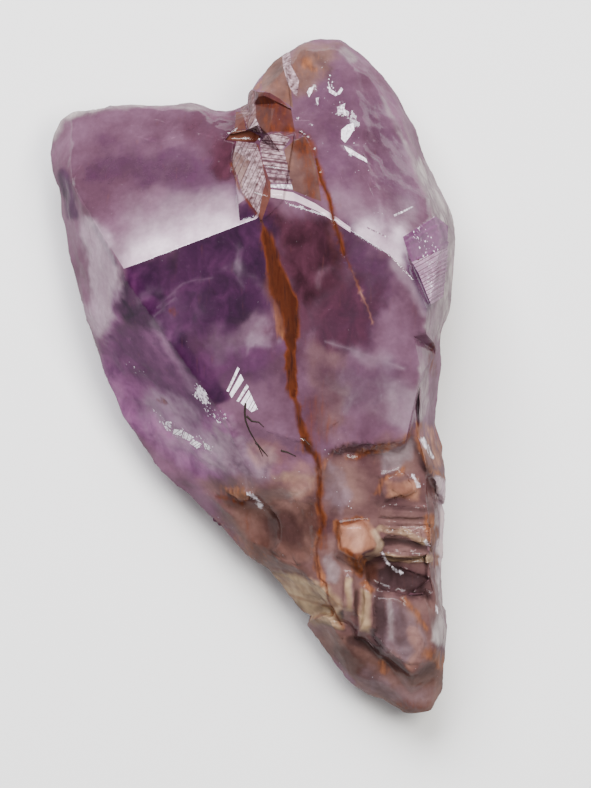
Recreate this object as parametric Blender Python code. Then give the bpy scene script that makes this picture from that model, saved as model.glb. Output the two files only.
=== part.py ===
"""Rough amethyst with hematite, lying on its back.

Two amethyst crystals grown together, side by side, on a banded quartz root. All of it is one
piece of quartz, so it is one solid: each crystal is a block cleaved along its faces, the blocks
are joined, hollows and chips are cut out, and the broken zones are roughened.
Metres, +Z up, +Y from the root to the crystal tops, origin under the middle of the stone.
"""
import math

import bmesh
import bpy
from mathutils import Vector, noise
from mathutils.bvhtree import BVHTree

MM = 0.001
BLOCK = 400 * MM

# Driving dimensions, in millimetres. Every face below hangs on these corners.
SADDLE = (2.2, 33.2, 46.0)
LEFT_SHOULDER = (-24.5, 23.1, 44.6)
RIGHT_SHOULDER = (28.9, 25.2, 49.0)
RIDGE_BEND = (16.3, 33.2, 48.1)
VEIN_FOOT = (14.0, -19.3, 39.0)
TIP_CREST = (18.6, -55.4, 22.5)
CROWN_TOP = 71.5
TIP_END = -71.5
LEFT_RIM = 17.0
RIGHT_RIM = 18.0
ROOT_RIM = 14.0
BACK_BEVEL = 121

# Broken quartz: how far the rough zones stray, and how fine their mesh is.
ROUGH_DEPTH = 0.8
ROUGH_SIZE = 5.0
ROUGH_EDGE = 3.9
FLAT_EDGE = 9.0

# Shell-shaped hollows in the broken underside: middle across and along, radius and depth.
DISHES = [
    (-18.0, 40.0, 15.0, 2.0), (9.0, 44.0, 13.0, 1.6), (27.0, 22.0, 14.0, 2.2),
    (-2.0, 16.0, 11.0, 1.2), (-12.0, -4.0, 10.0, 1.8), (14.0, -8.0, 13.0, 1.9),
    (12.0, -32.0, 9.0, 1.5)]
DISH_EDGE = 4.5

# The outline seen from above, anticlockwise from the top left corner, and how it pulls the rim.
OUTLINE = [
    (-39.6, 55.4), (-41.5, 52.1), (-42.9, 47.5), (-42.5, 43.3), (-41.0, 40.5), (-40.4, 35.3),
    (-39.0, 27.5), (-37.3, 19.7), (-35.2, 12.8), (-33.1, 6.5), (-31.2, 0.2), (-28.0, -7.6),
    (-23.4, -15.1), (-19.2, -20.2), (-15.0, -23.7), (-9.8, -28.6), (-4.9, -33.6), (0.1, -39.1),
    (4.9, -41.8), (7.5, -45.4), (10.2, -49.6), (13.5, -54.8), (16.3, -59.2), (19.8, -63.6),
    (22.4, -66.6), (24.6, -66.9), (28.5, -68.9), (31.4, -71.4), (37.5, -71.0), (39.6, -68.9),
    (40.2, -65.9), (40.8, -62.2), (41.1, -55.4), (41.5, -52.9), (40.4, -47.0), (40.2, -40.7),
    (40.2, -32.3), (40.6, -26.0), (41.1, -20.8), (40.4, -15.1), (39.2, -10.9), (38.7, -7.1),
    (39.6, -1.9), (40.2, 3.4), (39.6, 8.0), (41.1, 11.3), (42.1, 14.9), (42.7, 23.9),
    (43.2, 28.6), (42.5, 33.8), (40.6, 38.0), (37.1, 44.9), (34.3, 52.7), (31.2, 58.4),
    (27.0, 64.3), (22.8, 68.5), (19.6, 70.6), (16.5, 71.4), (12.3, 70.8), (8.1, 68.7),
    (4.3, 65.5), (1.4, 62.4), (-1.2, 58.6), (-2.8, 55.2), (-6.2, 55.4), (-8.3, 55.9),
    (-10.2, 57.8), (-18.2, 57.1), (-25.5, 57.1), (-33.5, 56.6), (-37.1, 56.5)]
OUTLINE_STEP = 1.6
OUTLINE_REACH = 7.0
OUTLINE_BLUR = 2.5

AMETHYST = (0.30, 0.19, 0.33, 1.0)


def clear_scene():
    """Remove every object that the start file holds."""
    for thing in list(bpy.data.objects):
        bpy.data.objects.remove(thing)


def new_collection(name):
    """A named collection under the scene's own."""
    made = bpy.data.collections.new(name)
    bpy.context.scene.collection.children.link(made)
    return made


def through(a, b, c):
    """A face through three corners in millimetres, looking up."""
    points = [Vector(p) * MM for p in (a, b, c)]
    normal = (points[1] - points[0]).cross(points[2] - points[0]).normalized()
    if normal.z < 0:
        normal = -normal
    return points[0], normal


def facing(at, toward, dip):
    """A face at a point in millimetres: compass angle from +X, and dip from level."""
    lean = math.radians(dip)
    turn = math.radians(toward)
    normal = Vector((math.sin(lean) * math.cos(turn), math.sin(lean) * math.sin(turn), math.cos(lean)))
    return Vector(at) * MM, normal


def rim(start, end, height, front, back=BACK_BEVEL):
    """The two faces that meet along one straight stretch of the outline, walked clockwise."""
    run = Vector(end) - Vector(start)
    toward = math.degrees(math.atan2(run.x, -run.y))
    middle = (Vector(start) + Vector(end)) / 2
    at = (middle.x, middle.y, height)
    return [facing(at, toward, front), facing(at, toward, back)]


def cleave(name, faces, collection):
    """A block of quartz cut back to every face in turn."""
    bm = bmesh.new()
    bmesh.ops.create_cube(bm, size=BLOCK)
    for point, normal in faces:
        everything = bm.verts[:] + bm.edges[:] + bm.faces[:]
        cut = bmesh.ops.bisect_plane(
            bm, geom=everything, dist=1e-7, plane_co=point, plane_no=normal, clear_outer=True)
        edges = [item for item in cut["geom_cut"] if isinstance(item, bmesh.types.BMEdge)]
        if edges:
            bmesh.ops.contextual_create(bm, geom=edges)
    bmesh.ops.recalc_face_normals(bm, faces=bm.faces[:])
    mesh = bpy.data.meshes.new(name)
    bm.to_mesh(mesh)
    bm.free()
    thing = bpy.data.objects.new(name, mesh)
    collection.objects.link(thing)
    return thing


def left_crystal(collection):
    """The left crystal: pale upper face, dark lower face and long flank."""
    faces = [
        through(SADDLE, LEFT_SHOULDER, (-25.5, 57.1, 20.0)),
        through((-26.1, 20.8, 44.6), (-35.2, 35.3, 31.0), (-33.5, 6.5, 18.0)),
        through(SADDLE, LEFT_SHOULDER, (-7.7, -5.5, 41.3)),
        through((-26.1, 20.0, 44.0), (-7.7, -5.5, 41.3), (-32.9, 5.5, 19.0)),
        through((-1.8, -10.9, 40.2), (10.2, -13.4, 40.5), (2.2, -24.4, 33.0)),
        facing((-2.4, -24.8, 31.0), 262, 55),
        facing((-0.3, -31.3, 15.0), 262, 118),
        facing((12.3, 16.0, 30.0), 5, 88),
        facing((-10.8, 16.0, 0.0), 0, 180),
        facing((-24.0, 30.0, 1.5), 170, 158),
    ]
    faces += rim((-40.2, 56.3), (-2.4, 57.3), LEFT_RIM + 2, 80, 118)
    faces += rim((-43.2, 46.4), (-39.0, 56.7), LEFT_RIM - 3, 62)
    faces += rim((-33.9, 8.6), (-43.0, 47.5), LEFT_RIM, 72)
    faces += rim((-19.2, -21.8), (-35.0, 8.0), LEFT_RIM - 2, 76, 125)
    faces += rim((8.1, -47.0), (-18.2, -20.8), LEFT_RIM - 2, 74, 125)
    return cleave("left_crystal", faces, collection)


def right_crystal(collection):
    """The right crystal: front face, domed top and the broken lower ledge."""
    top_left = (7.7, 68.0, 26.0)
    top_right = (19.6, 69.5, 25.0)
    faces = [
        through(SADDLE, RIGHT_SHOULDER, (10.2, -15.5, 40.2)),
        through((4.1, 37.2, 46.8), RIDGE_BEND, top_left),
        through(RIDGE_BEND, RIGHT_SHOULDER, top_right),
        through(RIGHT_SHOULDER, (22.4, 63.2, 27.1), (39.0, 33.8, 36.0)),
        facing((4.9, 61.7, 29.0), 135, 52),
        facing((24.9, -14.1, 43.0), 272, 55),
        facing((14.0, -15.5, 41.0), 230, 50),
        facing((20.0, -24.0, 18.0), 272, 115),
        facing((-2.4, 26.5, 30.0), 185, 88),
        facing((16.5, 37.0, 0.0), 0, 180),
        facing((14.0, 48.0, 1.0), 80, 160),
        facing((31.0, 24.0, 1.5), 12, 156),
    ]
    faces += rim((-2.8, 52.7), (1.8, 63.4), RIGHT_RIM + 6, 78)
    faces += rim((1.8, 63.4), (10.2, 70.6), RIGHT_RIM + 3, 70)
    faces += rim((10.2, CROWN_TOP), (19.6, CROWN_TOP), RIGHT_RIM + 1, 68)
    faces += rim((19.6, 71.0), (31.2, 58.4), RIGHT_RIM - 1, 76)
    faces += rim((31.2, 58.4), (39.0, 42.2), RIGHT_RIM - 1, 78)
    faces += rim((39.0, 42.2), (43.2, 29.6), RIGHT_RIM, 79)
    faces += rim((43.2, 29.6), (42.5, 18.1), RIGHT_RIM + 1, 79)
    faces += rim((42.1, 16.0), (36.2, -7.6), RIGHT_RIM + 6, 83, 118)
    return cleave("right_crystal", faces, collection)


def striated_crystal(collection):
    """The small striated crystal that grew in the notch between the two."""
    edge = (3.5, 39.7, 45.8)
    faces = [
        through(edge, (-4.3, 44.5, 36.6), (1.4, 33.4, 46.3)),
        through(edge, (2.2, 47.5, 39.9), (7.7, 45.4, 42.1)),
        facing((2.2, 33.2, 46.5), 220, 11),
        facing((8.5, 44.3, 41.0), 5, 70),
        facing((2.2, 50.0, 37.0), 100, 65),
        facing((-4.5, 44.5, 35.0), 165, 75),
        facing((5.4, 34.6, 46.5), 306, 60),
        facing((2.2, 32.3, 46.0), 262, 70),
        facing((2.2, 37.0, 26.0), 0, 180),
    ]
    return cleave("striated_crystal", faces, collection)


def clear_plate(collection):
    """The clear plate that caps the left slope of the right crystal."""
    faces = [
        facing((4.1, 37.2, 47.7), 81, 34),
        facing((1.8, 60.9, 30.0), 150, 60),
        facing((4.9, 58.2, 35.0), 238, 60),
        facing((8.5, 60.1, 30.0), 20, 70),
        facing((6.0, 66.8, 25.0), 110, 65),
        facing((2.2, 37.0, 16.0), 0, 180),
    ]
    faces += rim((-2.6, 52.7), (1.8, 63.0), RIGHT_RIM + 6, 78)
    faces += rim((1.4, 63.0), (9.8, 70.1), RIGHT_RIM + 3, 72)
    return cleave("clear_plate", faces, collection)


def root(collection):
    """The banded root: a front face and a left face that meet along the vein."""
    faces = [
        facing(VEIN_FOOT, 277, 20),
        facing(VEIN_FOOT, 207, 40),
        facing((10.2, -26.0, 0.0), 0, 180),
        facing((20.7, -38.6, 3.0), 265, 165),
        facing((2.2, -18.1, 30.0), 125, 80),
        facing((17.5, -54.2, 25.5), 255, 60),
    ]
    faces += rim((14.8, -56.1), (-7.7, -30.7), ROOT_RIM - 1, 66, 125)
    faces += rim((-5.6, -32.3), (-21.3, -17.6), ROOT_RIM, 72, 125)
    faces += rim((38.7, -4.0), (40.8, -19.7), ROOT_RIM + 3, 79)
    faces += rim((40.2, -11.3), (40.8, -51.2), ROOT_RIM + 3, 79)
    faces += rim((41.3, -47.0), (40.6, -61.3), ROOT_RIM + 1, 79)
    faces += rim((41.1, -58.6), (31.2, -62.8), ROOT_RIM + 1, 60)
    return cleave("root", faces, collection)


def heel(collection):
    """The pale block at the lower right of the root."""
    faces = [
        through((25.9, -47.0, 30.0), (37.1, -47.0, 30.5), (33.5, -61.3, 25.0)),
        facing((25.1, -49.1, 28.0), 185, 75),
        facing((29.3, -58.4, 25.0), 229, 65),
        facing((39.0, -59.6, 24.0), 305, 65),
        facing((31.2, -45.4, 30.0), 95, 60),
        facing((37.5, -52.3, 29.0), 5, 70),
        facing((20.7, -38.6, 3.0), 265, 165),
    ]
    faces += rim((41.0, -45.0), (40.6, -61.3), ROOT_RIM, 80)
    return cleave("heel", faces, collection)


def tip(collection):
    """The broken lower end."""
    faces = [
        through(TIP_CREST, (39.6, -58.6, 21.0), (31.2, -69.1, 16.0)),
        through(TIP_CREST, (14.8, -57.5, 18.0), (27.0, -68.0, 14.0)),
        facing((20.7, -38.6, 3.0), 265, 165),
        facing((27.0, -49.6, 20.0), 90, 80),
        facing((13.0, -51.0, 14.0), 140, 85),
    ]
    faces += rim((22.4, -67.2), (12.3, -53.3), ROOT_RIM - 2, 70)
    faces += rim((31.6, -71.6), (21.1, -65.9), ROOT_RIM - 3, 72)
    faces += rim((37.9, TIP_END), (30.8, TIP_END - 0.3), ROOT_RIM - 2, 76)
    faces += rim((41.1, -60.7), (37.5, -71.4), ROOT_RIM - 1, 76)
    faces += rim((41.5, -49.1), (40.8, -63.8), ROOT_RIM, 80)
    return cleave("tip", faces, collection)


def side_pieces(collection):
    """The thin strip under the front face's right edge, and the knob that ends it."""
    strip = [
        facing((36.0, -0.8, 42.0), 0, 45),
        facing((39.6, 8.6, 35.0), 120, 70),
        facing((37.5, -13.4, 35.0), 260, 70),
        facing((34.3, -0.8, 30.0), 180, 85),
        facing((37.5, -5.0, 8.0), 0, 180),
    ]
    strip += rim((39.0, 8.6), (39.8, -1.9), RIGHT_RIM + 2, 79)
    strip += rim((39.8, -0.8), (39.0, -13.4), RIGHT_RIM + 2, 79)
    knob = [
        facing((35.8, -16.0, 41.0), 15, 35),
        facing((34.5, -15.5, 38.0), 195, 70),
        facing((37.5, -10.7, 38.0), 100, 70),
        facing((37.5, -20.8, 36.0), 255, 75),
        facing((41.1, -19.7, 20.0), 0, 80),
        facing((37.5, -5.0, 8.0), 0, 180),
    ]
    knob += rim((39.0, -10.3), (41.3, -21.0), RIGHT_RIM + 2, 79)
    return [cleave("side_strip", strip, collection), cleave("side_knob", knob, collection)]


def rose_knob(collection):
    """The blunt rose-coloured knob beside the vein."""
    faces = [
        facing((21.7, -34.4, 36.3), 262, 12),
        facing((20.7, -29.8, 34.0), 95, 60),
        facing((17.1, -34.4, 33.0), 182, 65),
        facing((19.2, -39.1, 32.0), 245, 60),
        facing((26.6, -37.8, 32.0), 310, 60),
        facing((26.1, -32.3, 33.0), 20, 60),
        facing((20.7, -34.4, 20.0), 0, 180),
    ]
    return cleave("rose_knob", faces, collection)


def prism(name, middle, half_width, half_length, toward, collection):
    """One of the cream prisms that stand out of the lower root."""
    x, y, top = middle
    faces = [
        facing((x, y, top), toward, 15),
        facing((x - half_width, y, top - 1.4), 183, 70),
        facing((x + half_width, y, top - 1.4), 0, 70),
        facing((x, y - half_length, top - 3.4), toward, 60),
        facing((x, y + half_length, top - 1.6), 85, 60),
        facing((x, y, top - 7.0), 0, 180),
    ]
    return cleave(name, faces, collection)


def plate(name, middle, half_width, half_length, turn, lift, collection):
    """A low ledge of quartz on the root's front face, with a stepped upper edge."""
    x, y, top = middle
    faces = [
        facing((x, y, top + lift), 277, 20),
        facing((x - half_width, y, top), 180 + turn, 62),
        facing((x + half_width, y, top), turn, 62),
        facing((x, y - half_length, top - 0.4 * half_length), 270 + turn, 58),
        facing((x, y + half_length, top + 0.4 * half_length), 90 + turn, 62),
        facing((x, y, top - 4.0), 0, 180),
    ]
    return cleave(name, faces, collection)


def pocket(name, floor, walls, collection):
    """A cutter for a hollow: its floor, and walls that lean out as they rise."""
    faces = [(floor[0], -floor[1]), facing((0, 0, 80.0), 0, 0)]
    for at, toward in walls:
        faces.append(facing(at, toward, 104))
    return cleave(name, faces, collection)


def pockets(collection):
    """Cutters for the notch, the stepped face, the dark hollow and the slit."""
    notch = pocket("notch_cutter", facing((-1.0, 50.5, 30.2), 95, 22), [
        ((-5.2, 50.4, 31.0), 160), ((-2.2, 51.7, 31.0), 95), ((1.6, 50.5, 31.0), 25),
        ((-1.0, 49.3, 31.0), 268)], collection)
    stepped = pocket("stepped_cutter", facing((33.1, 25.2, 45.2), 22, 47), [
        ((35.3, 31.6, 40.0), 126), ((33.0, 25.0, 45.0), 200), ((35.8, 18.0, 45.0), 203),
        ((38.5, 15.0, 40.0), 280), ((41.5, 25.0, 30.0), 10), ((40.2, 33.0, 33.0), 55)], collection)
    hollow = pocket("hollow_cutter", facing((30.0, -41.5, 27.6), 250, 10), [
        ((24.0, -40.5, 30.0), 190), ((30.0, -38.2, 30.0), 95), ((37.3, -41.5, 30.0), 5),
        ((34.0, -44.6, 30.0), 300), ((27.0, -44.6, 30.0), 255)], collection)
    slit = pocket("slit_cutter", facing((38.3, 2.5, 32.0), 0, 40), [
        ((37.6, 3.0, 36.0), 190), ((38.3, 6.2, 36.0), 100), ((39.0, 3.0, 36.0), 5),
        ((38.0, -0.2, 36.0), 262)], collection)
    return [notch, stepped, hollow, slit]


def chips(collection):
    """Shell-shaped chips along the edges, cut by large balls."""
    spots = [
        ("chip_corner", (-43.5, 58.0, 25.0), 9.0),
        ("chip_ledge", (-2.0, -33.5, 29.5), 8.5),
        ("chip_rough", (21.5, 58.0, 46.0), 13.5),
        ("chip_back_a", (-36.0, 26.0, -6.0), 14.0),
        ("chip_back_b", (30.0, 54.0, -9.0), 17.0),
        ("chip_back_c", (28.0, -30.0, -10.0), 17.0),
    ]
    made = []
    for name, middle, radius in spots:
        bm = bmesh.new()
        bmesh.ops.create_icosphere(bm, subdivisions=3, radius=radius * MM)
        bmesh.ops.translate(bm, verts=bm.verts[:], vec=Vector(middle) * MM)
        mesh = bpy.data.meshes.new(name)
        bm.to_mesh(mesh)
        bm.free()
        thing = bpy.data.objects.new(name, mesh)
        collection.objects.link(thing)
        made.append(thing)
    return made


def combine(stone, others, operation):
    """Join other blocks to the stone, or cut them out of it, one after another."""
    for other in others:
        step = stone.modifiers.new(other.name, "BOOLEAN")
        step.operation = operation
        step.solver = "EXACT"
        step.object = other


def settled(thing):
    """The object's mesh with its modifiers applied, as a new mesh."""
    graph = bpy.context.evaluated_depsgraph_get()
    return bpy.data.meshes.new_from_object(thing.evaluated_get(graph), depsgraph=graph)


def roughness(point, normal):
    """How rough the quartz is here, from 0 on a crystal face to 1 on a fracture."""
    x, y, z = point.x / MM, point.y / MM, point.z / MM
    if z < 0.05:
        return 0.0
    amount = 0.0
    if z < 27 and abs(normal.z) < 0.75:
        amount = 0.8
    if y < -14:
        amount = max(amount, min((-14 - y) / 6, 0.9))
    if normal.z < -0.1:
        amount = 1.0
    if y > 40 and x > 10 and normal.z > 0.5:
        amount = max(amount, min((y - 40) / 12, 0.45))
    return amount


def refine(bm, longest, wanted):
    """Split the long edges of the faces that need it, until none is left."""
    for _ in range(7):
        long_edges = [
            edge for edge in bm.edges
            if edge.calc_length() > longest * MM and wanted(edge)]
        if not long_edges:
            return
        bmesh.ops.subdivide_edges(bm, edges=long_edges, cuts=1)
        bmesh.ops.triangulate(bm, faces=[face for face in bm.faces if len(face.verts) > 3])


def is_rough(edge):
    """Whether an edge lies on broken quartz."""
    for face in edge.link_faces:
        if roughness(face.calc_center_median(), face.normal) > 0.05:
            return True
    return False


def is_under(edge):
    """Whether an edge lies on the underside."""
    return max(vert.co.z for vert in edge.verts) < 0.05 * MM


def dished(point):
    """How high the underside stands over the ground here."""
    depths = [0.0]
    for x, y, radius, depth in DISHES:
        away = math.hypot(point.x / MM - x, point.y / MM - y) / radius
        if away < 1:
            depths.append(depth * (1 - away * away) * MM)
    return max(depths)


def weather(mesh):
    """Give the broken zones lumps and pits, and the underside its hollows."""
    bm = bmesh.new()
    bm.from_mesh(mesh)
    bmesh.ops.remove_doubles(bm, verts=bm.verts[:], dist=0.02 * MM)
    bmesh.ops.dissolve_limit(
        bm, angle_limit=math.radians(0.5), verts=bm.verts[:], edges=bm.edges[:])
    bmesh.ops.triangulate(bm, faces=bm.faces[:])
    refine(bm, FLAT_EDGE, lambda edge: True)
    refine(bm, ROUGH_EDGE, is_rough)
    refine(bm, DISH_EDGE, is_under)
    bm.normal_update()
    moves = []
    for vert in bm.verts:
        place = vert.co / (ROUGH_SIZE * MM)
        lump = noise.noise(place + Vector((3.1, 7.7, 1.3))) + 0.5 * noise.noise(place * 2.3)
        amount = roughness(vert.co, vert.normal)
        move = vert.normal * lump * ROUGH_DEPTH * MM * amount
        if vert.co.z < 0.05 * MM:
            move = Vector((0.0, 0.0, dished(vert.co)))
        moves.append(move)
    for vert, move in zip(bm.verts, moves):
        vert.co += move
        vert.co.z = max(vert.co.z, 0.0)
    bm.to_mesh(mesh)
    bm.free()


def outline_samples():
    """Points every little way along the outline, each with its outward direction."""
    samples = []
    for index, start in enumerate(OUTLINE):
        a = Vector(start) * MM
        b = Vector(OUTLINE[(index + 1) % len(OUTLINE)]) * MM
        run = b - a
        outward = Vector((run.y, -run.x)).normalized()
        count = max(1, round(run.length / (OUTLINE_STEP * MM)))
        for step in range(count):
            samples.append((a + run * ((step + 0.5) / count), outward))
    return samples


def gap_at(tree, place, outward):
    """How far the stone falls short of the outline here, or passes it, seen from above."""
    for step in range(81):
        reach = (4.0 - 0.1 * step) * MM
        spot = place + outward * reach
        if tree.ray_cast(Vector((spot.x, spot.y, 1.0)), Vector((0.0, 0.0, -1.0)))[0] is not None:
            return -reach
    return 0.0


def fit_outline(mesh):
    """Pull the rim out or in until the stone fills its outline; the middle stays as it is."""
    tree = BVHTree.FromPolygons(
        [vert.co.copy() for vert in mesh.vertices], [tuple(face.vertices) for face in mesh.polygons])
    pulls = [(place, outward * gap_at(tree, place, outward)) for place, outward in outline_samples()]
    for vert in mesh.vertices:
        flat = Vector((vert.co.x, vert.co.y))
        nearest = min((flat - place).length for place, pull in pulls)
        reach = 1 - nearest / (OUTLINE_REACH * MM)
        if reach <= 0 or vert.co.z < 0.05 * MM:
            continue
        total = Vector((0.0, 0.0))
        weights = 0.0
        for place, pull in pulls:
            weight = math.exp(-(((flat - place).length - nearest) / (OUTLINE_BLUR * MM)) ** 2)
            total += pull * weight
            weights += weight
        ease = reach * reach * (3 - 2 * reach)
        vert.co.x += total.x / weights * ease
        vert.co.y += total.y / weights * ease


def centre(mesh):
    """Put the origin under the middle of the stone's box."""
    lows = [min(vert.co[axis] for vert in mesh.vertices) for axis in range(3)]
    highs = [max(vert.co[axis] for vert in mesh.vertices) for axis in range(3)]
    shift = Vector(((lows[0] + highs[0]) / 2, (lows[1] + highs[1]) / 2, lows[2]))
    for vert in mesh.vertices:
        vert.co -= shift
    return shift


def quartz():
    """The stone's material: translucent purple quartz."""
    material = bpy.data.materials.new("amethyst")
    material.use_nodes = True
    shader = material.node_tree.nodes["Principled BSDF"]
    shader.inputs["Base Color"].default_value = AMETHYST
    shader.inputs["Roughness"].default_value = 0.12
    shader.inputs["IOR"].default_value = 1.544
    shader.inputs["Transmission Weight"].default_value = 0.5
    return material


clear_scene()
parts = new_collection("rough_amethyst")
blocks = new_collection("blocks")

stone = left_crystal(blocks)
grown = [right_crystal(blocks), root(blocks), tip(blocks), heel(blocks)]
grown += [striated_crystal(blocks), clear_plate(blocks), rose_knob(blocks)]
grown += side_pieces(blocks)
grown.append(prism("cream_prism_left", (20.3, -44.9, 31.3), 1.5, 5.0, 258, blocks))
grown.append(prism("cream_prism_right", (24.5, -48.6, 30.0), 1.4, 5.4, 264, blocks))
grown.append(plate("ledge_plate", (30.0, -22.6, 36.8), 3.4, 3.4, 20, 1.0, blocks))
grown.append(plate("band_plate_top", (31.5, -28.6, 34.8), 5.0, 1.3, 0, 0.6, blocks))
grown.append(plate("band_plate", (31.0, -33.6, 32.9), 4.6, 1.5, -3, 0.8, blocks))
combine(stone, grown, "UNION")
combine(stone, pockets(blocks) + chips(blocks), "DIFFERENCE")

final = settled(stone)
weather(final)
fit_outline(final)
fit_outline(final)
SHIFT = centre(final)
final.materials.clear()
final.materials.append(quartz())
amethyst = bpy.data.objects.new("amethyst", final)
parts.objects.link(amethyst)
stone.modifiers.clear()
for block in blocks.objects:
    block.hide_render = True
    block.display_type = "WIRE"
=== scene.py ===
"""The looks of a rough amethyst with hematite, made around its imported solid."""
import math
import random

import bmesh
import bpy
import numpy as np
from mathutils import Matrix, Vector, noise
from mathutils.bvhtree import BVHTree


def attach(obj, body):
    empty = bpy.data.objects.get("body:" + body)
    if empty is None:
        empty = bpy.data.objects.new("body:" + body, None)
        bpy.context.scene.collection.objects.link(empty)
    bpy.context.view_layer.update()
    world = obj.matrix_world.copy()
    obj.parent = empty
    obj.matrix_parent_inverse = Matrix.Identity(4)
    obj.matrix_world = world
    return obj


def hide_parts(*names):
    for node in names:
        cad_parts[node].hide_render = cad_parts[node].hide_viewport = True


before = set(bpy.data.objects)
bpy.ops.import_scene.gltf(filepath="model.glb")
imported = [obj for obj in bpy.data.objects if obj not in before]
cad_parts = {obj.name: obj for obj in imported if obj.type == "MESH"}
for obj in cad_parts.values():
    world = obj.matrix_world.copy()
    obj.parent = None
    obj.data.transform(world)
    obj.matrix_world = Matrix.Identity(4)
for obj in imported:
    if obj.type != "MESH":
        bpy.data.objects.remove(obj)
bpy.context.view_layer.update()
MM = 0.001

# Camera. It looks straight down on the stone as it lies, which is how the photo sees it.
# One pixel of the photo is 0.21 mm on the stone, and the stone's origin is under ORIGIN_PX.
PIXEL = 0.21 * MM
PHOTO_PX = (591, 788)
ORIGIN_PX = (252.5, 376.5)
CAMERA_HEIGHT = 3.0
RIM_HEIGHT = 22 * MM
SENSOR_MM = 36.0


def spot(px, py):
    """The place over the ground, in metres, under a pixel of the photo."""
    return (px - ORIGIN_PX[0]) * PIXEL, (ORIGIN_PX[1] - py) * PIXEL


camera = bpy.data.objects.new("camera", bpy.data.cameras.new("camera"))
bpy.context.scene.collection.objects.link(camera)
camera.location = (*spot(PHOTO_PX[0] / 2, PHOTO_PX[1] / 2), CAMERA_HEIGHT)
camera.data.sensor_width = SENSOR_MM
camera.data.lens = SENSOR_MM * (CAMERA_HEIGHT - RIM_HEIGHT) / (PHOTO_PX[1] * PIXEL)
camera.data.clip_start = 0.1
camera.data.clip_end = 20.0
bpy.context.scene.camera = camera

# The stone. One piece of amethyst quartz: two crystals grown side by side over a brownish root,
# with flat faces, striated facets between them, and shell-shaped fractures where it broke off.
# Its faces are the solid's own, cut along the lines that the photo shows and then split finely.
CRYSTAL_FACE = 22 * MM * MM   # a face larger than this is a natural crystal face, the rest is broken
COARSE = 1.6 * MM             # longest edge before the lines are cut
FRONT_EDGE = 1.4              # longest edge of the finished surface, in mm
UNDER_EDGE = 2.9              # the same close to the ground, below UNDER
UNDER = 6 * MM
UPPER_FACE = 0.05             # how far a face must look up to carry a line or a facet
DROP = 0.18                   # how much of its width a growth step takes to fall
STEP_TILT = 24                # degrees between faces past which an edge looks crisp
FINE_CALM = 0.15              # how much of the broken relief a flat facet keeps
VEIN_GROOVE = 0.12            # depth in mm of the groove along a rust vein
NOISE_SEED = 5
WANDER = 1.6                  # how far in mm the soft shades may sway for each mm of their wander
# Places that need finer edges: middle and radius in pixels, and the longest edge in mm.
FINE_SPOTS = [
    ((268, 145), 60, 0.5), ((425, 262), 46, 0.72), ((342, 120), 64, 0.92), ((243, 392), 26, 0.54),
    ((365, 545), 92, 0.84), ((385, 665), 52, 1.0), ((195, 430), 44, 1.0)]

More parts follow.
